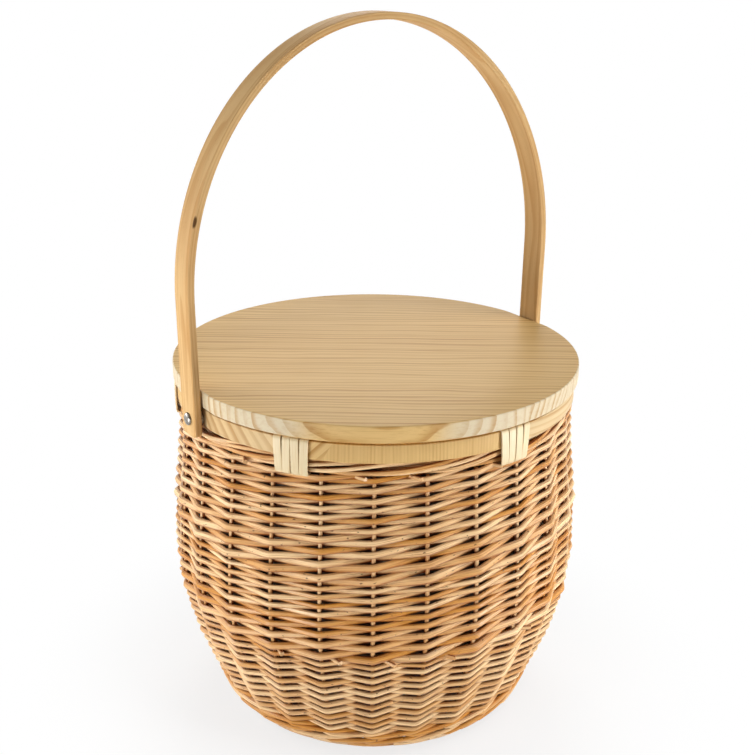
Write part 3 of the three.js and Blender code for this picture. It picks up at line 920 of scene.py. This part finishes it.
def ring_length(number, profile, low, high):
    """Points and grain of one glued length, from joint to joint."""
    first, slope, spacing = RING_LENGTHS[number][:3]
    start, stop, slope = np.radians([first, RING_LENGTHS[number + 1][0], slope])
    count = round(math.degrees(stop - start) / DEGREES_A_SECTION) + 2
    inset, height = np.array(profile).T
    rise = height - low[2]
    lean = JOINT_SLANT * (rise / (high[2] - low[2]) - 0.5) / high[1]
    angle = np.linspace(start, stop, count)[:, None] + lean
    radius = cut_circle(high[1], high[0], angle) - inset
    run = high[1] * angle
    along = run * math.cos(slope) - rise * math.sin(slope)
    across = (run * math.sin(slope) + rise * math.cos(slope)) / spacing
    apart = np.array([*LENGTH_APART, 0]) * number
    return polar(radius, angle, height), np.stack([along, across, radius / spacing], axis=-1) + apart


def rim_ring():
    low, high = box_mm("rim_ring")
    inner = ring_inside()
    section = eased(inner + RING_EDGE, high[1], low[2], high[2], RING_EDGE)
    inside = [(inner, high[2] - RING_EDGE, 0), (inner, low[2] + RING_EDGE, 0)]
    profile = [(high[1] - r, z) for r, z, side in [*section, *inside]]
    skin = Skin()
    for number, (*_, faint, endwise) in enumerate(RING_LENGTHS[:-1]):
        points, grain = ring_length(number, profile, low, high)
        shape = points.shape[:2]
        skin.add(points, grain=grain, calm=np.full(shape, faint), end=np.full(shape, endwise))
    return skin.piece("pine_rim_ring", RING_PINE, "basket", ["rim_ring"], "pine")


rim_ring()

# %% [markdown]
# ## Bentwood
# The handle is one steamed strip, bent over a former, so its grain follows the bend from leg to leg.
# The mesh is swept along the bow and carries the distance along it, which lets the grain follow too.

# %% Bentwood
BENT_PALE = srgb(216, 180, 128)
BENT_DEEP = srgb(186, 134, 74)
BENT_FIBRE = srgb(150, 102, 52)
BENT_KNOT = srgb(70, 38, 16)
BENT_RING_SPACING = 3.4
KNOT_PLACE = (149, -9.6, 2.0)  # along the strip from the left leg's end, across it, and outwards
KNOT_SIZE = (4.5, 1.3, 1.6)


def bentwood():
    finish = Finish("bentwood", Specular_IOR_Level=0.03)
    grain = finish.stored("grain")
    places = grain.parts()
    across, deep = places[1:]
    wander = finish.noise(grain.stretched(0.006, 0.06, 0.06), 1)
    year = ((across * 0.5 + deep * 1.3 + wander * 16) / BENT_RING_SPACING).fraction()
    late = year.rise(0.2, 0.9) * (1 - year.rise(0.93, 1.0))
    patch = finish.noise(grain.stretched(0.01, 0.05, 0.05))
    fibre = finish.noise(grain.stretched(0.035, 3.0, 3.0), 3)
    pore = finish.noise(grain.stretched(0.22, 1.7, 1.7), 1).rise(0.68, 0.76)
    far = [(place - middle) / size for place, middle, size in zip(places, KNOT_PLACE, KNOT_SIZE)]
    knot = 1 - (far[0] * far[0] + far[1] * far[1] + far[2] * far[2]).rise(0.3, 1.2)
    ground = finish.mix(late * 0.4 + patch.rise(0.35, 0.75) * 0.3, BENT_PALE, BENT_DEEP)
    fine = finish.mix(fibre.rise(0.5, 0.8) * 0.3 + pore * 0.3, ground, BENT_FIBRE)
    finish.feed("Base Color", finish.mix(knot * 0.9, fine, BENT_KNOT))
    finish.feed("Roughness", 0.44 + fibre * 0.2)
    finish.bump(wander - late * 0.3 - knot, 0.06, 0.4)
    return finish.done()


BENTWOOD = bentwood()

# %% Handle
HANDLE_THICKNESS = 5
HANDLE_EDGE = 0.6
LEG_CORNER = 4
LEG_FOOT_STEPS = (0, 0.25, 1, 2.2, 4)  # distances from the leg's end where its corners round off
LEG_STEPS = 7
BOW_STEPS = 96
BOW_SPRING_HEIGHT = 334
BOW_SPREAD = 1.1


def bow_line(low, high):
    """Centre line of the right half of the strip from the leg's end to the top, and its outward direction."""
    half = HANDLE_THICKNESS / 2
    spring = high[0] - half
    foot = spring - BOW_SPREAD
    rise = high[2] - half - BOW_SPRING_HEIGHT
    leg = [low[2] + d for d in LEG_FOOT_STEPS]
    leg += list(np.linspace(low[2] + LEG_CORNER, BOW_SPRING_HEIGHT, LEG_STEPS)[1:-1])
    share = (np.array(leg) - low[2]) / (BOW_SPRING_HEIGHT - low[2])
    angle = np.linspace(0, math.pi / 2, BOW_STEPS // 2 + 1)
    x = np.concatenate([foot + BOW_SPREAD * share, spring * np.cos(angle)])
    z = np.concatenate([leg, BOW_SPRING_HEIGHT + rise * np.sin(angle)])
    line = np.stack([x, np.zeros_like(x), z], axis=1)
    along = unit(np.gradient(line, axis=0))
    return line, np.stack([along[:, 2], along[:, 1], -along[:, 0]], axis=1)


def strip_section(half_width):
    """Rounded section of the strip, as pairs of distance outwards and across."""
    turn = np.linspace(0, math.pi / 2, EDGE_STEPS + 1)
    half = HANDLE_THICKNESS / 2 - HANDLE_EDGE
    wide = half_width - HANDLE_EDGE
    corners = [(half, wide, 0), (-half, wide, 1), (-half, -wide, 2), (half, -wide, 3)]
    section = []
    for out, across, quarter in corners:
        for a in turn + quarter * math.pi / 2:
            section.append((out + HANDLE_EDGE * math.cos(a), across + HANDLE_EDGE * math.sin(a)))
    return np.array(section)


def handle():
    low, high = box_mm("handle_bow")
    right, out = bow_line(low, high)
    mirror = np.array([-1, 1, 1])
    line = np.concatenate([right, right[-2::-1] * mirror])
    outward = np.concatenate([out, out[-2::-1] * mirror])
    run = run_along(line)
    rings, grain = [], []
    for centre, direction, distance in zip(line, outward, run):
        short = max(0, LEG_CORNER - min(distance, run[-1] - distance))
        half_width = high[1] - LEG_CORNER + math.sqrt(LEG_CORNER**2 - short**2)
        section = strip_section(half_width)
        rings.append(centre + section[:, :1] * direction + section[:, 1:] * np.array([0, 1, 0]))
        from_left = np.full(len(section), run[-1] - distance)
        grain.append(np.stack([from_left, section[:, 1], section[:, 0]], axis=1))
    print("handle strip", round(run[-1]), "mm long")
    skin = Skin().add(rings, grain=np.array(grain))
    return skin.piece("bentwood_handle", BENTWOOD, "handle", ["handle_bow"], "bentwood")


handle()

# %% [markdown]
# ## Cane lashings
# Flat strips of split cane bind the ring to the border. Each lashing is one strip wound four times, with the
# step to the next turn on the inside, where nobody looks. The strip keeps its width along the rim and turns
# its flat side to whatever it goes round.

# %% Cane
CANE_PALE = srgb(230, 211, 170)
CANE_STREAK = srgb(216, 182, 126)


def cane():
    finish = Finish("split_cane", Specular_IOR_Level=0.5)
    fibre = finish.stored("fibre")
    streak = finish.noise(fibre.stretched(0.03, 1.5, 1.5), 3)
    cloud = finish.noise(fibre.stretched(0.06, 0.25, 0.25))
    share = streak.rise(0.45, 0.75) * 0.6 + cloud * 0.25
    finish.feed("Base Color", finish.mix(share, CANE_PALE, CANE_STREAK))
    finish.feed("Roughness", 0.34 + streak * 0.2)
    finish.bump(streak, 0.15, 0.5)
    return finish.done()


CANE = cane()

# %% Lashings
LASHING_NODES = [f"lashing_{i + 1}" for i in range(6)]
LASHING_START = 34  # degrees
LASHING_TURNS = 4
CANE_WIDTH = 5.9
CANE_THICKNESS = 1.2
CANE_PITCH = 6.6
CANE_CLEARANCE = 0.9
CANE_EASING = 0.5  # shares of half the thickness
CANE_CROWN = 1.08
CANE_LEAN = 0.45  # how far turns wander from square on the outside
CANE_GATHER = 0.87  # how close the turns are drawn together under the border
CANE_STEPS = (0.1, 0.55, 0.9)  # shares of the step to the next turn, on the way down inside
CANE_APART = 400  # so that no two strips share their streaks
BORDER_INSET = 6.1  # how much further in the ring reaches than the border
CORNER_CUT = 1.5
CORNER_ROUNDS = 2
LASHING_MIDDLE = (LASHING_TURNS - 1) * CANE_PITCH / 2
cane_rng = np.random.default_rng(5)


def softened(path):
    """Corners cut and cut again, which turns a bent line into a smooth one."""
    for _ in range(CORNER_ROUNDS):
        early = path[:-1] * 0.75 + path[1:] * 0.25
        late = path[:-1] * 0.25 + path[1:] * 0.75
        between = np.stack([early, late], axis=1).reshape(-1, path.shape[1])
        path = np.concatenate([path[:1], between, path[-1:]])
    return path


def lashing_path():
    """Reach, height and distance along the rim of the strip's middle."""
    low, high = box_mm(LASHING_NODES[0])
    ring_low, ring_high = box_mm("rim_ring")
    half = CANE_THICKNESS / 2
    out = ring_high[1] + CANE_CLEARANCE + half
    ring_in = ring_inside() - CANE_CLEARANCE
    border_in = ring_in + BORDER_INSET
    foot, top = low[2] + half, high[2] - half
    path = []
    for turn in range(LASHING_TURNS):
        lean = cane_rng.uniform(-CANE_LEAN, CANE_LEAN, 2)
        start = turn * CANE_PITCH
        at_foot = LASHING_MIDDLE + (start - LASHING_MIDDLE) * CANE_GATHER + lean[0]
        at_top = start + lean[1]
        steps = [start + CANE_PITCH * share for share in CANE_STEPS]
        path += [
            (border_in + CORNER_CUT, foot, at_foot),
            (out - CORNER_CUT, foot, at_foot),
            (out, foot + CORNER_CUT, at_foot),
            (out, top - CORNER_CUT, at_top),
            (out - CORNER_CUT, top, at_top),
            (ring_in + CORNER_CUT, top, at_top),
            (ring_in, top - CORNER_CUT, steps[0]),
            (ring_in, ring_low[2] - CORNER_CUT, steps[1]),
            (border_in, foot + CORNER_CUT, steps[2]),
        ]
    return softened(np.array(path[:-1]))


def cane_section():
    """Flat section with eased edges, as pairs of distance along the rim and out of the strip."""
    half, edge = CANE_WIDTH / 2, CANE_THICKNESS / 2
    flat = half - edge * CANE_EASING
    crown = edge * CANE_CROWN
    return np.array([
        (-half, 0), (-flat, -edge), (0, -crown), (flat, -edge),
        (half, 0), (flat, edge), (0, crown), (-flat, edge),
    ])


def lashings():
    section = cane_section()
    rim = box_mm("rim_ring")[1][1]
    skin = Skin()
    for number in range(len(LASHING_NODES)):
        centre = math.radians(LASHING_START) + number * TURN / len(LASHING_NODES)
        path = lashing_path()
        flat = np.gradient(path[:, :2], axis=0)
        square = unit(np.stack([-flat[:, 1], flat[:, 0]], axis=1))
        reach = path[:, :1] + section[:, 1] * square[:, :1]
        height = path[:, 1:2] + section[:, 1] * square[:, 1:]
        aside = path[:, 2:] - LASHING_MIDDLE + section[:, 0]
        run = run_along(path[:, :2])[:, None] + CANE_APART * number
        fibre = np.stack(np.broadcast_arrays(run, *section.T), axis=-1)
        skin.add(polar(reach, centre + aside / rim, height), fibre=fibre)
    return skin.piece("cane_lashings", CANE, "basket", LASHING_NODES, "cane")


lashings()

# %% [markdown]
# ## Rivets and washers
# Two domed rivets are the handle's hinge. Each passes through the leg, a spacer and the ring, and is clenched
# over a washer inside. They are small, so a turned profile with a rounded dome is enough.

# %% Metal
STEEL = srgb(158, 154, 147)
STEEL_DULL = srgb(112, 108, 102)
SCUFFS = 900  # in each metre


def steel():
    finish = Finish("rivet_steel", Metallic=1.0)
    place = finish.node("ShaderNodeTexCoord", {}, {}, "Object")
    scuff = finish.noise(place.stretched(SCUFFS, SCUFFS, SCUFFS), 3)
    finish.feed("Base Color", finish.mix(scuff.rise(0.4, 0.7), STEEL, STEEL_DULL))
    finish.feed("Roughness", 0.22 + scuff * 0.25)
    finish.bump(scuff, 0.03, 0.4)
    return finish.done()


RIVET_STEEL = steel()

# %% Turned metal
METAL_POINTS = 32
RIVET_DIAMETER = 5
RIVET_HEAD_HEIGHT = 2.4
RIVET_BRIM = 0.7
RIVET_UNDERCUT = 0.2, 0.3  # how far the head's lower edge is eased, in and up
RIVET_CLENCH = ((-1.0, 0), (1.2, 0.5), (1.6, 1.5), (0, 1.6))  # past the shank's side, and from its end
DOME_STEPS = 7
DOME_TOP = 0.3
WASHER_EDGE = 0.3
WASHER_PLAY = 0.3


def turned_along_x(profile, side, height):
    """Rings of a section of reach and distance from the middle, turned about the rivets' line."""
    around = circle(METAL_POINTS) * side
    reach, distance = np.array(profile).T[..., None]
    turned = side * distance, reach * np.cos(around), height + reach * np.sin(around)
    return np.stack(np.broadcast_arrays(*turned), axis=-1)


def rivet_profile(inner, outer, head):
    shank = RIVET_DIAMETER / 2
    face = outer - RIVET_HEAD_HEIGHT
    clench = [(shank + past, inner + far) for past, far in RIVET_CLENCH]
    lip = [(shank, face), (head - RIVET_UNDERCUT[0], face), (head, face + RIVET_UNDERCUT[1])]
    turn = np.linspace(0, math.pi / 2, DOME_STEPS)[:-1]
    rise = RIVET_HEAD_HEIGHT - RIVET_BRIM
    dome = [(head * math.cos(a), face + RIVET_BRIM + rise * math.sin(a)) for a in turn]
    return [*clench, *lip, *dome, (DOME_TOP, outer)]


def washer_profile(inner, outer, reach):
    hole = RIVET_DIAMETER / 2 + WASHER_PLAY
    edge = WASHER_EDGE
    return [
        (hole, inner), (reach - edge, inner), (reach, inner + edge),
        (reach, outer - edge), (reach - edge, outer), (hole, outer),
    ]


# %% Rivets, spacers and burrs
def metal_pair(name, kind):
    nodes = [f"{kind}_{hand}" for hand in ("left", "right")]
    low, high = box_mm(nodes[1])
    washer = kind != "rivet"
    profile = (washer_profile if washer else rivet_profile)(low[0], high[0], high[1])
    skin = Skin()
    for side in (-1, 1):
        skin.add(turned_along_x(profile, side, (low[2] + high[2]) / 2), joined=washer)
    return skin.piece(name, RIVET_STEEL, "basket", nodes, "rivet_metal")


metal_pair("domed_rivets", "rivet")
metal_pair("spacers", "spacer")
metal_pair("burrs", "burr")

# %% [markdown]
# ## The liner
# Inside stands a grey quilted bag that shows through the gaps and when the lid is off. It is soft, so it is
# built as a shell with a rolled hem, a seam near the top and slack folds.

# %% Cloth
CLOTH_GREY = srgb(156, 144, 132)
CLOTH_SHADE = srgb(122, 112, 102)
THREADS = 1.1  # threads in each millimetre


def cloth():
    finish = Finish("liner_cloth", Roughness=0.92, Specular_IOR_Level=0.2)
    lay = finish.stored("lay")
    weft, warp = lay.parts()[:2]
    over = (weft * THREADS * TURN).math("SINE") * (warp * THREADS * TURN).math("SINE")
    slub = finish.noise(lay.stretched(0.25, 1.6, 1.0), 2)
    finish.feed("Base Color", finish.mix(over * 0.25 + slub * 0.5, CLOTH_GREY, CLOTH_SHADE))
    finish.bump(over * 0.5 + slub * 0.5, 0.2, 0.6)
    return finish.done()


LINER_CLOTH = cloth()

# %% Liner
LINER_POINTS = 156
LINER_DEPTH = 7.4  # from the wall's centre line to the cloth
LINER_THICKNESS = 3.2
LINER_LEVELS = 22
LINER_LIFT = 1  # height where the floor turns into the side
LINER_FLOOR = 4
LINER_PUFF = 1.5  # how far the floor swells in the middle
FLOOR_SHARES = (0.02, 0.5, 0.94)  # rings of points on the floor, as shares of its radius
SEAM_BELOW_TOP = 14
SEAM_PINCH = 0.8
SEAM_WIDTH = 1.5
HEM_ROLL = 1.2
HEM_RISE = 1.6  # share of half the thickness
HEM_FOLDS = 0.6
HEM_STEPS = 7
LINER_FOLDS = ((7, 0.7), (11, 0.5), (19, 0.35))  # folds round the bag, and their depth
FOLD_DEPTH = 0.5
FOLD_INSET = 1.2
FOLD_CHANGE = 0.5  # how much the folds change on the way up, and over what height
FOLD_LENGTH = 23


def liner_section(low, high):
    """Reach, height and how much the folds show, from the middle of the floor out, up and down inside."""
    heights = np.linspace(low[2] + LINER_LIFT, high[2] - LINER_THICKNESS, LINER_LEVELS)
    outer = wall_radius(heights) - LINER_DEPTH
    half = LINER_THICKNESS / 2
    seam = high[2] - SEAM_BELOW_TOP
    pinch = SEAM_PINCH * np.exp(-(((heights - seam) / SEAM_WIDTH) ** 2))
    top = low[2] + LINER_FLOOR
    outside = [(r - p, z, 1) for r, z, p in zip(outer, heights, pinch)]
    inside = [(r - LINER_THICKNESS + p, max(z, top), 1) for r, z, p in zip(outer, heights, pinch)]
    hem = []
    for a in np.linspace(0, math.pi, HEM_STEPS)[1:-1]:
        reach = outer[-1] - half + (half + HEM_ROLL) * math.cos(a)
        hem.append((reach, heights[-1] + half * HEM_RISE * math.sin(a), HEM_FOLDS))
    floor = outer[0] - LINER_THICKNESS
    under = [(floor * share, low[2], 0) for share in FLOOR_SHARES]
    over = [(floor * share, top + LINER_PUFF * (1 - share), 0) for share in FLOOR_SHARES]
    return [*under, *outside, *hem, *inside[::-1], *over[::-1]]


def liner():
    low, high = box_mm("liner")
    angle = circle(LINER_POINTS)
    folds = sum(depth * np.cos(count * angle + count) for count, depth in LINER_FOLDS)
    section = np.array(liner_section(low, high))
    reach, height, shown = section.T[..., None]
    slack = FOLD_DEPTH * (folds - FOLD_INSET) * (1 + FOLD_CHANGE * np.sin(height / FOLD_LENGTH))
    radius = reach + shown * slack
    run = run_along(section[:, :2])[:, None]
    lay = np.stack(np.broadcast_arrays(angle * BELLY_RADIUS, run, radius), axis=-1)
    skin = Skin().add(polar(radius, angle, height), lay=lay)
    bag = skin.piece("liner_bag", LINER_CLOTH, "basket", ["liner"], "liner_fabric")
    return bag


liner()

# %% [markdown]
# ## Floor and light
# The studio is plain: a white floor that takes a soft shadow, small soft boxes low on the left, in front and
# on the right, a weak strip on each side, and larger boxes above and behind. The background is white because
# the floor and the world answer the camera with white, and not because more light falls on the basket.

# %% Floor
FLOOR_REACH = 40
FLOOR_ROUGHNESS = 0.9
SHADOW_REACH = (0.12, 0.3)  # distances over which the floor fades into the white background, in metres
SHADOW_WHITE = 0.76  # share of plain white under the basket
FLOOR_WHITE = (0.9, 0.9, 0.9, 1)
FLOOR_BOUNCE = (0.7, 0.7, 0.7, 1)  # a studio table throws back less light than the picture's white


def straight_rays(finish):
    """1 for rays that come from the camera, or off metal or glass."""
    kinds = ("Is Camera Ray", "Is Glossy Ray", "Is Transmission Ray")
    camera, glossy, through = [finish.node("ShaderNodeLightPath", {}, {}, kind) for kind in kinds]
    return camera.math("MAXIMUM", glossy).math("MAXIMUM", through)


def floor():
    finish = Finish("studio_floor", Roughness=FLOOR_ROUGHNESS)
    seen = straight_rays(finish)
    finish.feed("Base Color", finish.mix(seen, FLOOR_BOUNCE, FLOOR_WHITE))
    place = finish.node("ShaderNodeTexCoord", {}, {}, "Object")
    distance = finish.node("ShaderNodeVectorMath", {"operation": "LENGTH"}, {0: place}, "Value")
    share = seen * (SHADOW_WHITE + distance.rise(*SHADOW_REACH) * (1 - SHADOW_WHITE))
    white = finish.node("ShaderNodeEmission", {}, {"Color": (1, 1, 1, 1), "Strength": 1.0})
    lit = Shade(finish, finish.shader.outputs[0])
    mixed = finish.node("ShaderNodeMixShader", {}, {0: share, 1: lit, 2: white})
    finish.tree.links.new(mixed.socket, finish.tree.nodes["Material Output"].inputs["Surface"])
    mesh = bpy.data.meshes.new("studio_floor")
    corners = [(-FLOOR_REACH, -FLOOR_REACH, 0), (FLOOR_REACH, -FLOOR_REACH, 0)]
    corners += [(-x, -y, 0) for x, y, z in corners]
    mesh.from_pydata(corners, [], [(0, 1, 2, 3)])
    mesh.materials.append(finish.material)
    sheet = bpy.data.objects.new("studio_floor", mesh)
    bpy.context.scene.collection.objects.link(sheet)
    return sheet


print("stage", floor().name)

# %% World and lamps
WORLD_LIGHT = 0.05
ROOM_EDGE = (-0.15, 0.55)  # how far round to the camera's side the white of the studio reaches
ROOM_WHITE = 0.12  # what shines back from that side
# Azimuth from the camera and elevation in degrees, distance and size in metres, power in watts
SOFT_BOXES = {
    "soft_box_left": dict(azimuth=-52, elevation=-4, distance=0.8, size=0.2, power=2.65),
    "strip_left": dict(azimuth=-96, elevation=20, distance=0.7, size=0.3, power=2.2),
    "soft_box_front": dict(azimuth=-24, elevation=-4, distance=1.2, size=0.18, power=2.4),
    "soft_box_right": dict(azimuth=64, elevation=-4, distance=0.75, size=0.2, power=3.3),
    "strip_right": dict(azimuth=104, elevation=12, distance=0.7, size=0.3, power=0.4),
    "soft_box_top": dict(azimuth=60, elevation=62, distance=2.2, size=0.9, power=21),
    "soft_box_back": dict(azimuth=180, elevation=40, distance=2.0, size=0.9, power=15),
}
LIT_HEIGHT = 0.16  # what the lamps look at, in metres


class Backdrop(Finish):
    """The world has a net of nodes too, but no surface."""

    def __init__(self, tree):
        self.tree = tree


def world():
    made = bpy.data.worlds.new("studio")
    made.use_nodes = True
    bpy.context.scene.world = made
    finish = Backdrop(made.node_tree)
    direction = finish.node("ShaderNodeTexCoord", {}, {}, "Generated")
    facing = {0: direction, 1: towards(math.radians(CAMERA_AZIMUTH), 0)}
    ahead = finish.node("ShaderNodeVectorMath", {"operation": "DOT_PRODUCT"}, facing, "Value")
    camera = finish.node("ShaderNodeLightPath", {}, {}, "Is Camera Ray")
    room = camera.math("MAXIMUM", 1 - ahead.rise(*ROOM_EDGE) * (1 - ROOM_WHITE))
    strength = WORLD_LIGHT + straight_rays(finish) * (room - WORLD_LIGHT)
    background = made.node_tree.nodes["Background"]
    background.inputs["Color"].default_value = (1, 1, 1, 1)
    finish.tree.links.new(strength.socket, background.inputs["Strength"])


def soft_box(name, azimuth, elevation, distance, size, power):
    """A square lamp, placed by its direction as seen from the camera's side."""
    back = towards(math.radians(CAMERA_AZIMUTH + azimuth), math.radians(elevation))
    lamp = bpy.data.objects.new(name, bpy.data.lights.new(name, "AREA"))
    lamp.data.size = size
    lamp.data.energy = power
    lamp.location = back * distance + Vector((0, 0, LIT_HEIGHT))
    lamp.rotation_euler = back.to_track_quat("Z", "Y").to_euler()
    lamp.visible_camera = False
    bpy.context.scene.collection.objects.link(lamp)


world()
for name, place in SOFT_BOXES.items():
    soft_box(name, **place)
bpy.context.scene.view_settings.view_transform = "Standard"
print("lamps", len(SOFT_BOXES))
